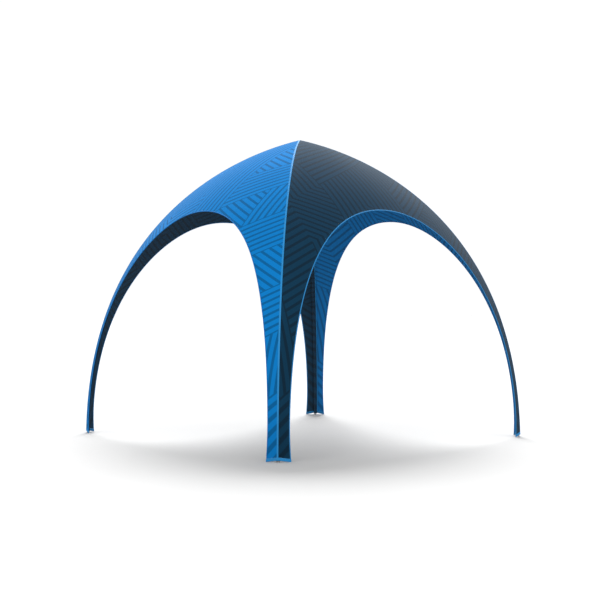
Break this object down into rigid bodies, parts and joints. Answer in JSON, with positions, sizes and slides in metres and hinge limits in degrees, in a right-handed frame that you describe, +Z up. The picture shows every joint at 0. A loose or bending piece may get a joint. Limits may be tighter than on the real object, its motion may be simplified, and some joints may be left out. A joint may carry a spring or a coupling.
{
  "type": "inflatable canopy tent",
  "caption": "Open-sided inflatable canopy tent: arched fabric panels rise from slim V-shaped corner legs to a pointed peak, with air beams inside the ridges.",
  "frame": {"origin": "on the ground, at the middle between the four feet, below the peak", "axes": "+Z up, -Y towards the front, which is a blue side with an arched opening, +X towards the right-hand navy side"},
  "size_m": [4.1032, 4.1032, 3.8199],
  "materials": {
    "blue": "coated polyester, satin",
    "navy": "coated polyester, satin",
    "light_blue": "woven tape, satin",
    "bladder": "satin",
    "black_plastic": "matte",
    "grey_rubber": "matte"
  },
  "bodies": {
    "root": {"back_arch_piping": "blue", "back_left_air_beam": "bladder", "back_left_foot_hem": "light_blue", "back_left_foot_pad": "grey_rubber", "back_left_ridge_tape": "light_blue", "back_left_sleeve_back_half": "navy", "back_left_sleeve_left_half": "navy", "back_panel": "blue", "back_right_air_beam": "bladder", "back_right_foot_hem": "light_blue", "back_right_foot_pad": "grey_rubber", "back_right_ridge_tape": "light_blue", "back_right_sleeve_back_half": "navy", "back_right_sleeve_right_half": "navy", "crown_hub": "bladder", "front_arch_piping": "blue", "front_left_air_beam": "bladder", "front_left_foot_hem": "light_blue", "front_left_foot_pad": "grey_rubber", "front_left_ridge_tape": "light_blue", "front_left_sleeve_front_half": "navy", "front_left_sleeve_left_half": "navy", "front_panel": "blue", "front_right_air_beam": "bladder", "front_right_foot_hem": "light_blue", "front_right_foot_pad": "grey_rubber", "front_right_ridge_tape": "light_blue", "front_right_sleeve_front_half": "navy", "front_right_sleeve_right_half": "navy", "inflation_valve": "black_plastic", "inflation_valve_cap": "black_plastic", "left_arch_piping": "light_blue", "left_panel": "navy", "relief_valve": "black_plastic", "right_arch_piping": "light_blue", "right_panel": "navy", "valve_patch": "navy"}
  },
  "joints": []
}
